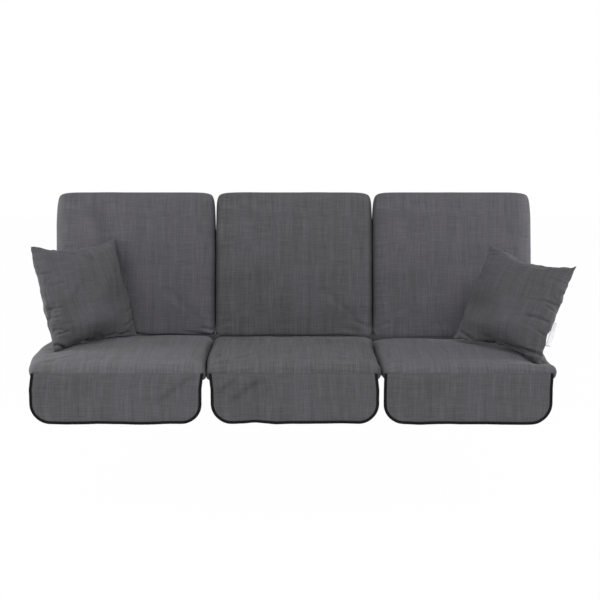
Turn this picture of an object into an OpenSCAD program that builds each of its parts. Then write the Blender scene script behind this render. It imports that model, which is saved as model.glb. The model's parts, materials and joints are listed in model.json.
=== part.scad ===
// Cushion set for a three-place porch swing: three seat cushions with folding backs
// and hanging front flaps, and two scatter pillows. Millimetres.
// +X runs along the seat, +Y towards the backs, +Z up. The origin is the middle of
// the flat underside of the centre seat cushion.

/* [Places] */
// Distance from the middle of one place to the middle of the next
place_pitch = 540; // [480:1:600]
// Gap left between the cushions of neighbouring places
place_gap = 0.6; // [0.4:0.1:2]

/* [Seat cushions] */
// Depth of a seat cushion, from its front seam to the fold
seat_depth = 480; // [440:1:540]
// Height of a seat cushion at the shoulders of its top
seat_thick = 58; // [54:1:70]
// Extra height in the middle of the top
seat_crown = 12; // [4:1:14]
// Height of the seam that runs round a seat cushion and holds its flap
seat_seam_h = 32; // [28:1:36]

/* [Back cushions] */
// Length of a back cushion, from the fold to its top seam
back_length = 494; // [460:1:520]
// Thickness of a back cushion at its shoulders
back_thick = 64; // [56:1:76]
// Extra thickness in the middle of the front
back_crown = 13; // [4:1:15]
// Depth of a back cushion's seam behind the shoulders of its front
back_seam_d = 30; // [26:1:34]
// Lean of the backs from upright, in degrees
back_lean = 12; // [6:1:18]

/* [Cushion edges] */
// How far the sides take to round over from the seam to the shoulder
edge_round = 38; // [30:1:46]
// How far top and underside take to round over into the flat end at the fold
fold_round = 22; // [18:1:26]
// How far that flat end stands back from the fold
fold_set_back = 6; // [5.5:0.1:8]
// Corner radius of the cushions, seen square to their top
corner_r = 32; // [20:1:45]
// How far the sides draw in between the corners
side_draw = 2; // [0:0.5:8]

/* [Covers and fillings] */
// Thickness of a cushion cover with the wadding quilted to it
cover_wall = 4; // [3:0.5:6]
// Room between a cover and the filling inside it
filling_gap = 0.4; // [0.3:0.1:1]

/* [Fold strip] */
// Length of the strip of cloth that joins a seat to its back
strip_l = 524; // [400:1:530]
// Thickness of the strip
strip_t = 1.6; // [1.2:0.1:2]
// Radius of the rolled seam on the fold line
roll_r = 3.5; // [3:0.1:4]
// How far the strip is sewn down over each cushion's end
strip_sewn = 12; // [8:1:14]
// Running gap round the rolled seam
roll_gap = 0.3; // [0.2:0.1:0.5]

/* [Front flaps] */
// Width of a flap, without its binding
flap_w = 514; // [440:1:520]
// Drop of a flap from its seam to its hem
flap_drop = 154; // [130:1:180]
// Thickness of the doubled cloth of a flap
flap_t = 2.4; // [2:0.1:4]
// Radius of the two lower corners of a flap
flap_corner_r = 58; // [40:1:70]
// How far the folds of a flap stand out at its hem
flap_wave = 3.5; // [0:0.5:4]
// Gap between a flap and the seam that holds it
flap_gap = 0.4; // [0.3:0.1:0.8]

/* [Binding] */
// Width of the binding on each face of a flap
binding_w = 9; // [6:0.5:14]
// Thickness of the binding tape
binding_t = 1.2; // [0.8:0.1:2]
// Room between the binding and the cloth that it wraps
binding_gap = 0.4; // [0.3:0.1:0.8]

/* [Zips] */
// Length of a zip
zip_l = 420; // [300:1:480]
// Width of the zip's tape
zip_tape_w = 20; // [16:1:22]
// Thickness of the tape
zip_tape_t = 1.2; // [0.8:0.1:1.4]
// Width of the row of teeth
zip_teeth_w = 4; // [3:0.5:5]
// Height of the teeth above the tape
zip_teeth_h = 1.6; // [1:0.1:1.8]
// Depth of the zip's middle below the shoulder of the cushion
zip_depth = 36; // [34:1:38]
// Thickness of the slider's plate over the teeth
slider_plate = 1.1; // [0.8:0.1:1.2]
// Running gap of the slider over the teeth
slider_gap = 0.3; // [0.2:0.1:0.4]
// Length of the slider without its pull
slider_l = 11; // [9:1:14]
// Length of the pull
pull_l = 22; // [16:1:30]

/* [Scatter pillows] */
// Size of a pillow from corner tip to corner tip along one side
pillow_size = 334; // [300:1:380]
// Thickness of a pillow in the middle
pillow_thick = 116; // [90:1:130]
// How far the sides of a pillow draw in between its corners
pillow_draw = 13; // [4:1:20]
// Thickness of a pillow's cover with its wadding
pillow_wall = 3; // [2:0.5:4]
// Clearance of a pillow above the seat it rests on
rest_gap = 0.5; // [0.3:0.05:0.8]
// Turn of the left pillow about the upright, towards the middle of the swing
left_pillow_turn = 48; // [40:1:55]
// Lean of the left pillow, negative when its top lies further back
left_pillow_lean = -21; // [-28:1:-14]
// Roll of the left pillow in its own plane
left_pillow_roll = 0; // [-4:1:4]
// Turn of the right pillow, negative towards the middle of the swing
right_pillow_turn = -39; // [-46:1:-32]
// Lean of the right pillow
right_pillow_lean = -31; // [-36:1:-26]
// Roll of the right pillow
right_pillow_roll = 5; // [0:1:8]
// How far the left pillow's middle lies outside the middle of its place
left_pillow_out = 143; // [120:1:165]
// How far the right pillow's middle lies outside the middle of its place
right_pillow_out = 174; // [155:1:190]
// Clearance of the left pillow in front of its back cushion
left_pillow_clear = 0.5; // [0.4:0.1:10]
// Clearance of the right pillow, which sits further forward
right_pillow_clear = 120; // [90:1:140]

/* [Care tag] */
// Width of the tag that stands out of the pillow's seam
tag_w = 15; // [10:1:22]
// Length of the tag
tag_l = 80; // [50:1:90]
// Thickness of the tag
tag_t = 0.8; // [0.6:0.1:1.2]
// Distance of the tag's upper end below the middle of the pillow
tag_down = 42; // [20:1:60]

/* [Hidden] */

left = -1;
centre = 0;
right = 1;

half_w = (place_pitch - place_gap) / 2;
fold_y = seat_depth / 2;
fold_z = seat_thick;
over = 20;      // how far cutting blocks reach past what they cut
skim = 0.5;     // depth that is cut flat where a cushion lies on something
outer_edge = 3; // facets in a rounded side of a cover
outer_mid = 6;  // facets across a cover between its rounded sides
inner_edge = 2; // the same inside a cover, and on its filling
inner_mid = 3;
corner_share = 1 - sqrt(1 / 2); // how much of its radius a rounded corner loses
corner_reach = 1.6; // how far along the sides a rounded corner is felt, in radii
side_power = 6;     // how closely the drawn-in sides keep to the edge

cloth = "#5c5b5f";
dark_trim = "#18181a";
strip_cloth = "#504f54";
foam_colour = "#d8d3bd";
fill_colour = "#f1f1ee";
zip_cloth = "#343437";
metal = "#8d8f92";
tag_cloth = "#efedf0";

// ---- Grids: closed skins over a grid of points, one sheet above and one below ----

// Points of both sheets, which share the grid's rim
function skin_points(top, under) =
    let (nx = len(top) - 1, ny = len(top[0]) - 1)
    concat(
        [for (i = [0 : nx]) for (j = [0 : ny]) top[i][j]],
        [for (i = [1 : nx - 1]) for (j = [1 : ny - 1]) under[i][j]]
    );

// Triangles of one cell, cut along the diagonal that points away from the middle
function cell_faces(a, b, c, d, away, up) =
    let (
        one = away ? [[a, b, c], [a, c, d]] : [[a, b, d], [b, c, d]]
    )
    up ? one : [for (t = one) [t[2], t[1], t[0]]];

function skin_faces(nx, ny) =
    let (
        upper = function (i, j) i * (ny + 1) + j,
        inside = function (i, j) i > 0 && i < nx && j > 0 && j < ny,
        first = (nx + 1) * (ny + 1),
        lower = function (i, j) inside(i, j) ? first + (i - 1) * (ny - 1) + j - 1 : upper(i, j)
    )
    [
        for (i = [0 : nx - 1]) for (j = [0 : ny - 1])
            let (away = (i < nx / 2) == (j < ny / 2))
            each concat(
                cell_faces(upper(i, j), upper(i, j + 1), upper(i + 1, j + 1), upper(i + 1, j),
                           away, true),
                cell_faces(lower(i, j), lower(i, j + 1), lower(i + 1, j + 1), lower(i + 1, j),
                           away, false)
            )
    ];

module skin(top, under) {
    polyhedron(
        points = skin_points(top, under),
        faces = skin_faces(len(top) - 1, len(top[0]) - 1),
        convexity = 4
    );
}

// ---- Box cushions ----
// Their own frame: x across, y away from the fold, z up out of the face that is sat on
// or leant on, whose shoulders lie at z = 0.

// Share of the full height at a distance from the seam: a quarter of a round
function rounded(dist, reach) = dist >= reach ? 1 : sqrt(1 - pow(1 - max(dist, 0) / reach, 2));

// Places along one side: crowded where it rounds over, even between
function places(low, high, low_round, high_round, edge_n, mid_n) = concat(
    [for (k = [0 : edge_n - 1]) low + low_round * (1 - cos(90 * k / edge_n))],
    [for (k = [0 : mid_n]) low + low_round + (high - high_round - low - low_round) * k / mid_n],
    [for (k = [edge_n - 1 : -1 : 0]) high - high_round * (1 - cos(90 * k / edge_n))]
);

// One cushion: [half width, near y, far y, seam z, underside z, crown, inset]
// The inset shrinks it evenly, for what lies inside the cover.
function cushion(length, thick, seam_d, crown, inset) = [
    half_w - inset,
    inset > 0 ? fold_set_back + inset : 0,
    length - inset,
    -seam_d,
    inset > 0 ? inset - thick : -thick - skim,
    crown,
    inset
];

function seat_form(inset = 0) =
    cushion(seat_depth, seat_thick, seat_thick - seat_seam_h, seat_crown, inset);
function back_form(inset = 0) =
    cushion(back_length, back_thick, back_seam_d, back_crown, inset);

// Height of the face above its shoulders' plane, and depth of the underside
function face_z(c, x, y) =
    let (
        round_x = rounded(c[0] - abs(x), edge_round - c[6]),
        round_y = min(rounded(c[2] - y, edge_round - c[6]), rounded(y - c[1], near_round(c))),
        u = x / c[0],
        v = (2 * y - c[1] - c[2]) / (c[2] - c[1])
    )
    c[3] + (-c[6] - c[3]) * round_x * round_y + c[5] * max(0, 1 - u * u) * max(0, 1 - v * v);

function under_z(c, x, y) =
    c[3] + (c[4] - c[3]) * rounded(c[0] - abs(x), edge_round - c[6])
         * min(rounded(c[2] - y, edge_round - c[6]), rounded(y - c[1], near_round(c)));

function near_round(c) = c[6] > 0 ? fold_round - c[6] : fold_round;

// Seen square to the face: far corners rounded and sides drawn in a little
function shaped(c, x, y, z) =
    let (
        mid = (c[1] + c[2]) / 2,
        u = x / c[0],
        v = (y - mid) / (c[2] - mid),
        sharp = corner_reach * c[0] / corner_r,
        near_corner = v > 0 ? pow(abs(u * v), sharp) * corner_share * corner_r : 0,
        drawn = side_draw * (1 - v * v) * pow(abs(u), side_power)
    )
    [x - sign(x) * (near_corner + drawn), y - near_corner, z];

module cushion_skin(c, edge_n, mid_n) {
    xs = places(-c[0], c[0], edge_round - c[6], edge_round - c[6], edge_n, mid_n);
    ys = places(c[1], c[2], near_round(c), edge_round - c[6], edge_n, mid_n);
    skin(
        [for (x = xs) [for (y = ys) shaped(c, x, y, face_z(c, x, y))]],
        [for (x = xs) [for (y = ys) shaped(c, x, y, under_z(c, x, y))]]
    );
}

// A cover: hollow, with a flat end at the fold and a flat underside
module cushion_cover(outer, inner, thick) {
    difference() {
        cushion_skin(outer, outer_edge, outer_mid);
        cushion_skin(inner, inner_edge, inner_mid);
        translate([-half_w - over, -over, -thick - over])
            cube([2 * (half_w + over), over + fold_set_back, thick + 2 * over]);
        translate([-half_w - over, -over, -thick - over])
            cube([2 * (half_w + over), back_length + seat_depth, over]);
    }
}

// ---- Where the cushions stand ----

module on_place(side) {
    translate([side * place_pitch, 0, 0]) children();
}

module on_seat(side) {
    on_place(side) translate([0, fold_y, fold_z]) rotate([0, 0, 180]) children();
}

module on_back(side) {
    on_place(side) translate([0, fold_y, fold_z]) rotate([90 - back_lean, 0, 0]) children();
}

module seat_cover(side) {
    color(cloth) on_seat(side) cushion_cover(seat_form(), seat_form(cover_wall), seat_thick);
}

module seat_foam(side) {
    color(foam_colour) on_seat(side)
        cushion_skin(seat_form(cover_wall + filling_gap), inner_edge, inner_mid);
}

module back_cover(side) {
    color(cloth) on_back(side) cushion_cover(back_form(), back_form(cover_wall), back_thick);
}

module back_foam(side) {
    color(foam_colour) on_back(side)
        cushion_skin(back_form(cover_wall + filling_gap), inner_edge, inner_mid);
}

// ---- Fold strip: cloth sewn down over both ends, rolled on the fold line ----

strip_top = -0.45 * fold_round; // below the rounded shoulder of the cushion's end
strip_heel = strip_top - 1.2 * strip_t; // where the strip turns away from that end

// A length of a section that lies in the cushion's frame, y away from the fold and z up
module along_fold() {
    rotate([90, 0, 90]) translate([0, 0, -strip_l / 2]) linear_extrude(strip_l) children();
}

module fold_strip(rolled) {
    difference() {
        union() {
            along_fold() translate([fold_set_back - strip_t, strip_top - strip_sewn])
                square([strip_t, strip_sewn]);
            along_fold() polygon([
                [fold_set_back, strip_top], [fold_set_back - strip_t, strip_heel],
                [roll_gap, -roll_r], [roll_r, -roll_r / 3]
            ]);
            if (rolled) fold_roll(roll_r, strip_l);
        }
        if (!rolled) fold_roll(roll_r + roll_gap, strip_l + over);
        if (!rolled) translate([-strip_l, roll_gap - over, -over]) cube([2 * strip_l, over, 2 * over]);
    }
}

module fold_roll(radius, length) {
    rotate([0, 90, 0]) translate([0, 0, -length / 2]) cylinder(h = length, r = radius, $fn = 40);
}

module seat_fold_strip(side) {
    color(strip_cloth) on_seat(side) fold_strip(true);
}

module back_fold_strip(side) {
    color(strip_cloth) on_back(side) fold_strip(false);
}

// ---- Zips, on the flat ends by the fold ----

zip_face = fold_set_back - zip_tape_t;
slider_y = zip_face - zip_teeth_h - slider_gap - slider_plate;
slider_x = -zip_l / 2 + zip_teeth_w + slider_l / 2 + slider_gap;
slider_w = zip_teeth_w + 2 * (slider_gap + slider_plate);
pull_w = 5;

module zip() {
    translate([0, 0, -zip_depth]) {
        translate([-zip_l / 2, zip_face, -zip_tape_w / 2])
            cube([zip_l, zip_tape_t, zip_tape_w]);
        translate([-zip_l / 2, zip_face - zip_teeth_h, -zip_teeth_w / 2])
            cube([zip_l, zip_teeth_h, zip_teeth_w]);
        for (end = [-1, 1])
            translate([end * (zip_l - zip_teeth_w) / 2 - zip_teeth_w / 2,
                       zip_face - zip_teeth_h, -slider_w / 2])
                cube([zip_teeth_w, zip_teeth_h, slider_w]);
    }
}

module zip_slider() {
    translate([slider_x, 0, -zip_depth]) {
        difference() {
            translate([-slider_l / 2, slider_y, -slider_w / 2])
                cube([slider_l, zip_face - slider_gap - slider_y, slider_w]);
            translate([-slider_l, slider_y + slider_plate, -zip_teeth_w / 2 - slider_gap])
                cube([2 * slider_l, over, zip_teeth_w + 2 * slider_gap]);
        }
        translate([slider_l / 2 - slider_plate, slider_y, -pull_w / 2])
            cube([pull_l - pull_w / 2, slider_plate, pull_w]);
        translate([slider_l / 2 - slider_plate + pull_l - pull_w / 2, slider_y, 0])
            rotate([-90, 0, 0]) cylinder(h = slider_plate, d = pull_w, $fn = 32);
    }
}

module seat_zip(side) {
    color(zip_cloth) on_seat(side) zip();
}

module seat_zip_slider(side) {
    color(metal) on_seat(side) zip_slider();
}

module back_zip(side) {
    color(zip_cloth) on_back(side) zip();
}

module back_zip_slider(side) {
    color(metal) on_back(side) zip_slider();
}

// ---- Front flaps ----
// Their own frame: x across, y out to the front, z down from the seam.

flap_y = -fold_y - flap_gap - flap_t / 2;
flap_half = flap_w / 2;
flap_rows = 4;
flap_arc = 3;  // facets in a lower corner
flap_mid = 8;  // facets along the straight hem
flap_cycles = 2.2;    // folds across a flap
flap_phase = 70;      // where the centre flap's folds start
flap_phase_step = 95; // how much later they start on the flap to its right

// Columns of the grid: close together over the rounded lower corners
flap_xs = concat(
    [for (k = [0 : flap_arc - 1])
        -flap_half + flap_corner_r * (1 - cos(90 * k / flap_arc))],
    [for (k = [0 : flap_mid])
        (flap_half - flap_corner_r) * (2 * k / flap_mid - 1)],
    [for (k = [flap_arc - 1 : -1 : 0])
        flap_half - flap_corner_r * (1 - cos(90 * k / flap_arc))]
);

// Drop of the hem at x: straight, with quarter rounds at the sides
function hem_drop(x) =
    let (past = max(0, abs(x) - flap_half + flap_corner_r))
    flap_drop - flap_corner_r + sqrt(max(0, pow(flap_corner_r, 2) - pow(past, 2)));

// How far the hanging folds push the cloth out at x and at a drop
function fold_out(side, x, drop) =
    flap_wave * max(0, drop) / flap_drop
    * sin(360 * flap_cycles * x / flap_w + flap_phase + flap_phase_step * side);

function on_flap(side, x, drop, out) = [
    side * place_pitch + x,
    flap_y - out - fold_out(side, x, drop),
    seat_seam_h - drop
];

module front_flap(side) {
    color(cloth) skin(
        [for (x = flap_xs) [for (r = [0 : flap_rows])
            on_flap(side, x, hem_drop(x) * r / flap_rows, flap_rim(x, r, flap_t / 2))]],
        [for (x = flap_xs) [for (r = [0 : flap_rows])
            on_flap(side, x, hem_drop(x) * r / flap_rows, flap_rim(x, r, -flap_t / 2))]]
    );
}

// The cloth keeps its thickness up to a thin edge, which meets the seam at the top
function flap_rim(x, row, half_t) =
    row == 0 ? -flap_t / 2 : row == flap_rows || abs(x) >= flap_half ? 0 : half_t;

// ---- Binding: tape folded over the flap's sides and hem ----

// Stations along the flap's edge from one end of the seam to the other: [x, drop, outward x, z]
side_rows = 2;
edge_stations = concat(
    [for (k = [0 : side_rows - 1])
        [-flap_half, (flap_drop - flap_corner_r) * k / side_rows, -1, 0]],
    [for (x = flap_xs)
        let (past = abs(x) - flap_half + flap_corner_r)
        past > 0
            ? [x, hem_drop(x), sign(x) * past / flap_corner_r,
               sqrt(1 - pow(past / flap_corner_r, 2))]
            : [x, hem_drop(x), 0, 1]],
    [for (k = [side_rows - 1 : -1 : 0])
        [flap_half, (flap_drop - flap_corner_r) * k / side_rows, 1, 0]]
);

// Section of the folded tape: [outward, across the cloth]
tape_in = flap_t / 2 + binding_gap;
tape_out = tape_in + binding_t;
tape_section = [
    [-binding_w, tape_out], [binding_gap + binding_t, tape_out],
    [binding_gap + binding_t, -tape_out], [-binding_w, -tape_out],
    [-binding_w, -tape_in], [binding_gap, -tape_in],
    [binding_gap, tape_in], [-binding_w, tape_in]
];

function tape_ring(side, station) = [
    for (p = tape_section)
        on_flap(side, station[0] + p[0] * station[2], station[1] + p[0] * station[3], p[1])
];

module flap_binding(side) {
    n = len(tape_section);
    m = len(edge_stations);
    points = [for (s = edge_stations) each tape_ring(side, s)];
    walls = [
        for (i = [0 : m - 2]) for (k = [0 : n - 1])
            let (a = i * n + k, b = i * n + (k + 1) % n, c = b + n, d = a + n)
            each [[a, b, c], [a, c, d]]
    ];
    // Each end is a U, closed by three quads
    quads = [[0, 1, 6, 7], [1, 2, 5, 6], [2, 3, 4, 5]];
    start_end = [for (q = quads) each [[q[3], q[2], q[1]], [q[3], q[1], q[0]]]];
    last_end = [for (q = quads) each [
        [q[0], q[1], q[2]] + (m - 1) * n * [1, 1, 1],
        [q[0], q[2], q[3]] + (m - 1) * n * [1, 1, 1]
    ]];
    color(dark_trim)
        polyhedron(points = points, faces = concat(walls, start_end, last_end), convexity = 6);
}

// ---- Scatter pillows ----
// Their own frame: x across, z up the pillow, y through it towards the back.

pillow_n = 12;      // facets along a side of the cover
pillow_inner_n = 5; // the same inside it, and on the filling
pillow_flat = 2.6;  // how far the flat middle reaches towards the seam
pillow_edge = 0.6;  // how steeply it swells from the seam
pillow_tuck = 1.6;  // how much faster the inside ends short of the seam than of the faces

function cos_place(k, n) = -cos(180 * k / n);

// Half thickness falls to nothing at the seam, and the sides draw in between the corners
function pillow_point(u, v, half, half_t, sign_y) =
    let (
        across = pow(max(0, 1 - pow(abs(u), pillow_flat)), pillow_edge),
        upward = pow(max(0, 1 - pow(abs(v), pillow_flat)), pillow_edge),
        in_x = pillow_draw * (1 - v * v) * pow(abs(u), 3),
        in_z = pillow_draw * (1 - u * u) * pow(abs(v), 3)
    )
    [half * u - sign(u) * in_x, sign_y * half_t * across * upward, half * v - sign(v) * in_z];

function pillow_sheet(n, inset, sign_y) = [
    for (i = [0 : n]) [for (j = [0 : n])
        pillow_point(cos_place(i, n), cos_place(j, n), pillow_size / 2 - pillow_tuck * inset,
                     pillow_thick / 2 - inset, sign_y)]
];

// Turn about z, lean about x and roll about y
function turned(p, turn, lean, roll) =
    let (
        a = [p[0] * cos(roll) + p[2] * sin(roll), p[1], p[2] * cos(roll) - p[0] * sin(roll)],
        b = [a[0], a[1] * cos(lean) - a[2] * sin(lean), a[1] * sin(lean) + a[2] * cos(lean)]
    )
    [b[0] * cos(turn) - b[1] * sin(turn), b[0] * sin(turn) + b[1] * cos(turn), b[2]];

// Points of a pillow's skin, turned as it stands
function pillow_probe(turn, lean, roll) =
    [for (s = [-1, 1]) each [for (row = pillow_sheet(pillow_n, 0, s)) each
        [for (p = row) turned(p, turn, lean, roll)]]];

// Top of the seat below a point given across and away from the middle of its place
function seat_top(x, y) =
    abs(x) > half_w || abs(y) > fold_y ? seat_seam_h
        : fold_z + face_z(seat_form(), x, fold_y - y);

// Front of the back level with that point
function back_front(x, z) =
    let (along = max(0, min(back_length, (z - fold_z) / cos(back_lean))))
    fold_y + (z - fold_z) * tan(back_lean)
        - max(0, face_z(back_form(), min(half_w, abs(x)), along)) / cos(back_lean);

// Height and depth at which the pillow just rests, found by settling it a few times
function settled(probe, x, clear, at = [0, 0], turns = 4) =
    turns == 0 ? at
    : let (
        z = max([for (p = probe) seat_top(p[0] + x, p[1] + at[0]) - p[2]]) + rest_gap,
        y = min([for (p = probe) back_front(p[0] + x, p[2] + z) - p[1]]) - clear
    )
    settled(probe, x, clear, [y, z], turns - 1);

function pillow_pose(side) =
    side == left
        ? [left_pillow_turn, left_pillow_lean, left_pillow_roll,
           -left_pillow_out, left_pillow_clear]
        : [right_pillow_turn, right_pillow_lean, right_pillow_roll,
           right_pillow_out, right_pillow_clear];

function pillow_middle(side) =
    let (
        pose = pillow_pose(side),
        at = settled(pillow_probe(pose[0], pose[1], pose[2]), pose[3], pose[4])
    )
    [side * place_pitch + pose[3], at[0], at[1]];

module in_pillow(side) {
    pose = pillow_pose(side);
    translate(pillow_middle(side))
        rotate([0, 0, pose[0]]) rotate([pose[1], 0, 0]) rotate([0, pose[2], 0])
            children();
}

// The grid's sheets: front is the first, and its outward side is -y
module pillow_skin(n, inset) {
    skin(pillow_sheet(n, inset, -1), pillow_sheet(n, inset, 1));
}

module pillow_cover(side) {
    color(cloth) in_pillow(side) difference() {
        pillow_skin(pillow_n, 0);
        pillow_skin(pillow_inner_n, pillow_wall);
    }
}

module pillow_filling(side) {
    color(fill_colour) in_pillow(side) pillow_skin(pillow_inner_n, pillow_wall + filling_gap);
}

// Side seam of a pillow at a height above its middle
function side_seam_x(z) =
    let (v = z / (pillow_size / 2))
    pillow_size / 2 - pillow_draw * (1 - v * v);

module pillow_care_tag(side) {
    low = -tag_down - tag_l;
    slope = atan((side_seam_x(low) - side_seam_x(-tag_down)) / tag_l);
    color(tag_cloth) in_pillow(side)
        translate([side_seam_x(low) + rest_gap, -tag_t / 2, low]) rotate([0, -slope, 0])
            cube([tag_w, tag_t, tag_l]);
}

seat_cover(left);  // left_seat_cover
seat_foam(left);  // left_seat_foam
seat_zip(left);  // left_seat_zip
seat_zip_slider(left);  // left_seat_zip_slider
seat_fold_strip(left);  // left_seat_fold_strip
front_flap(left);  // left_front_flap
flap_binding(left);  // left_flap_binding
back_cover(left);  // left_back_cover
back_foam(left);  // left_back_foam
back_zip(left);  // left_back_zip
back_zip_slider(left);  // left_back_zip_slider
back_fold_strip(left);  // left_back_fold_strip
seat_cover(centre);  // centre_seat_cover
seat_foam(centre);  // centre_seat_foam
seat_zip(centre);  // centre_seat_zip
seat_zip_slider(centre);  // centre_seat_zip_slider
seat_fold_strip(centre);  // centre_seat_fold_strip
front_flap(centre);  // centre_front_flap
flap_binding(centre);  // centre_flap_binding
back_cover(centre);  // centre_back_cover
back_foam(centre);  // centre_back_foam
back_zip(centre);  // centre_back_zip
back_zip_slider(centre);  // centre_back_zip_slider
back_fold_strip(centre);  // centre_back_fold_strip
seat_cover(right);  // right_seat_cover
seat_foam(right);  // right_seat_foam
seat_zip(right);  // right_seat_zip
seat_zip_slider(right);  // right_seat_zip_slider
seat_fold_strip(right);  // right_seat_fold_strip
front_flap(right);  // right_front_flap
flap_binding(right);  // right_flap_binding
back_cover(right);  // right_back_cover
back_foam(right);  // right_back_foam
back_zip(right);  // right_back_zip
back_zip_slider(right);  // right_back_zip_slider
back_fold_strip(right);  // right_back_fold_strip
pillow_cover(left);  // left_pillow_cover
pillow_filling(left);  // left_pillow_filling
pillow_cover(right);  // right_pillow_cover
pillow_filling(right);  // right_pillow_filling
pillow_care_tag(right);  // right_pillow_care_tag
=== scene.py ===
"""Looks of a porch swing cushion set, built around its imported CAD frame.

Metres. +X runs along the seat, +Y to the backs, +Z up. A cushion is a cover of two sheets
that share a seam. Its cloth is simulated with the seam held, and then gets the creases of
its own place. Soft pieces are modelled flat, in the frame of their cushion, and placed last.
"""
import json
import math

import bpy
import numpy as np
from mathutils import Matrix, Vector
from mathutils.bvhtree import BVHTree

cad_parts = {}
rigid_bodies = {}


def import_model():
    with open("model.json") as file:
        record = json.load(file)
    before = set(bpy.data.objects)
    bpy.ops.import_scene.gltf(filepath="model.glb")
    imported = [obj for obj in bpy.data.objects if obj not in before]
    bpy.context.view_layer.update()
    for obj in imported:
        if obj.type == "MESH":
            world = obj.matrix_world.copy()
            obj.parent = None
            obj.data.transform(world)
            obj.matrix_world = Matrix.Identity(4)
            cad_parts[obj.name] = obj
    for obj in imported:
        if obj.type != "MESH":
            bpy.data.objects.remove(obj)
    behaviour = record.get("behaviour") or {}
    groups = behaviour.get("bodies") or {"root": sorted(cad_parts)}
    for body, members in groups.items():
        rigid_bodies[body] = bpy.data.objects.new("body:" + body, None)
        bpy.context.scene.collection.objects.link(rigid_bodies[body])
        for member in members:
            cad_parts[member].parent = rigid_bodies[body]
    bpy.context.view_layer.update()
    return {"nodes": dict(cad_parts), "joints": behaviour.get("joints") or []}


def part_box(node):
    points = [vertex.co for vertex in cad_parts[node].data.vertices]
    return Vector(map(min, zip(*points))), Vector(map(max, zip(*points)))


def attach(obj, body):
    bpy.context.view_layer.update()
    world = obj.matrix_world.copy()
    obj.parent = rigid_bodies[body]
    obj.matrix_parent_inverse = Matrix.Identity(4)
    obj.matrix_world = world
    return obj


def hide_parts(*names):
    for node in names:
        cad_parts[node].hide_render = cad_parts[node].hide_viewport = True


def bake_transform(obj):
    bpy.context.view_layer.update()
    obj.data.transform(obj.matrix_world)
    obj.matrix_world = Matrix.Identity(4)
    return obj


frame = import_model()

PLACES = ("left", "centre", "right")
LEAN = math.radians(12)        # of the backs from upright
SEAT_SEAM_D = 0.026            # depth of the seam below a seat's shoulders
BACK_SEAM_D = 0.030            # the same behind a back's shoulders
EDGE_ROUND = 0.038             # how far the end away from the fold takes to round over
SIDE_ROUND = 0.034             # the same at the sides
NEAR_ROUND = 0.016             # the same at the end by the fold
CORNER_R = {"seat": 0.023, "back": 0.034}
CORNER_LOSS = 1 - math.sqrt(0.5)
CORNER_REACH = 1.6             # how far along the sides a rounded corner is felt, in radii
CELL = 0.0075                  # of a cushion's mesh before it is subdivided
EDGE_CELLS = 6                 # over its rounded edge
SIM_FRAMES = 20
UNDER_SHIFT = 3.0              # of the lower sheet's weave from the upper sheet's

scene = bpy.context.scene


# ---- Reading the frame ----

def joint(name):
    return next(j for j in frame["joints"] if j["name"] == name)


def fold_line(place):
    return Vector(joint(f"{place}_back_fold")["pos_m"])


def seat_frame(place):
    """World from seat: y away from the fold, z up out of the top, whose shoulders are at 0."""
    return Matrix.Translation(fold_line(place)) @ Matrix.Rotation(math.pi, 4, "Z")


def back_frame(place):
    return Matrix.Translation(fold_line(place)) @ Matrix.Rotation(math.pi / 2 - LEAN, 4, "X")


def local_box(node, world_from_local):
    """Lowest and highest corner of a CAD node in a cushion's own frame."""
    to_local = world_from_local.inverted()
    points = np.array([to_local @ v.co for v in frame["nodes"][node].data.vertices])
    return points.min(0), points.max(0)


# ---- Meshes of two sheets that share their rim ----

def arc_lengths(grid):
    """Cloth coordinates of a grid of points: lengths along it from its middle."""
    out = []
    for axis in (0, 1):
        steps = np.linalg.norm(np.diff(grid, axis=axis), axis=2)
        total = np.insert(np.cumsum(steps, axis), 0, 0, axis)
        out.append(total - total.take([grid.shape[axis] // 2], axis))
    return np.stack(out, -1)


def quads(grid, flip=False):
    """The four corners of each cell of a grid, which holds numbers or vectors."""
    cells = np.stack([grid[:-1, :-1], grid[1:, :-1], grid[1:, 1:], grid[:-1, 1:]], 2)
    cells = cells.reshape(-1, 4, *grid.shape[2:])
    return cells[:, ::-1] if flip else cells


def new_mesh(name, points, faces, uv=None):
    mesh = bpy.data.meshes.new(name)
    mesh.from_pydata(np.asarray(points).tolist(), [], [list(map(int, f)) for f in faces])
    if uv is not None:
        layer = mesh.uv_layers.new(name="weave")
        layer.uv.foreach_set("vector", np.asarray(uv, np.float32).ravel())
    mesh.polygons.foreach_set("use_smooth", [True] * len(mesh.polygons))
    mesh.update()
    obj = bpy.data.objects.new(name, mesh)
    scene.collection.objects.link(obj)
    return obj


def sewn(name, top, under, uvs=None):
    """A closed mesh of two sheets. Their grids are the same at the rim."""
    nx, ny = top.shape[:2]
    upper = np.arange(nx * ny).reshape(nx, ny)
    lower = upper.copy()
    lower[1:-1, 1:-1] = nx * ny + np.arange((nx - 2) * (ny - 2)).reshape(nx - 2, ny - 2)
    points = np.concatenate([top.reshape(-1, 3), under[1:-1, 1:-1].reshape(-1, 3)])
    uv_top, uv_under = uvs or (arc_lengths(top), arc_lengths(under) + UNDER_SHIFT)
    obj = new_mesh(name, points, np.concatenate([quads(upper), quads(lower, True)]),
                   np.concatenate([quads(uv_top), quads(uv_under, True)]))
    return obj, upper, lower


def vectors(items, attribute):
    out = np.empty(len(items) * 3, np.float32)
    items.foreach_get(attribute, out)
    return out.reshape(-1, 3).astype(float)


def coords(obj):
    return vectors(obj.data.vertices, "co")


def normals(obj):
    return vectors(obj.data.vertex_normals, "vector")


def set_coords(obj, points):
    obj.data.vertices.foreach_set("co", np.asarray(points, np.float32).ravel())
    obj.data.update()


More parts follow.
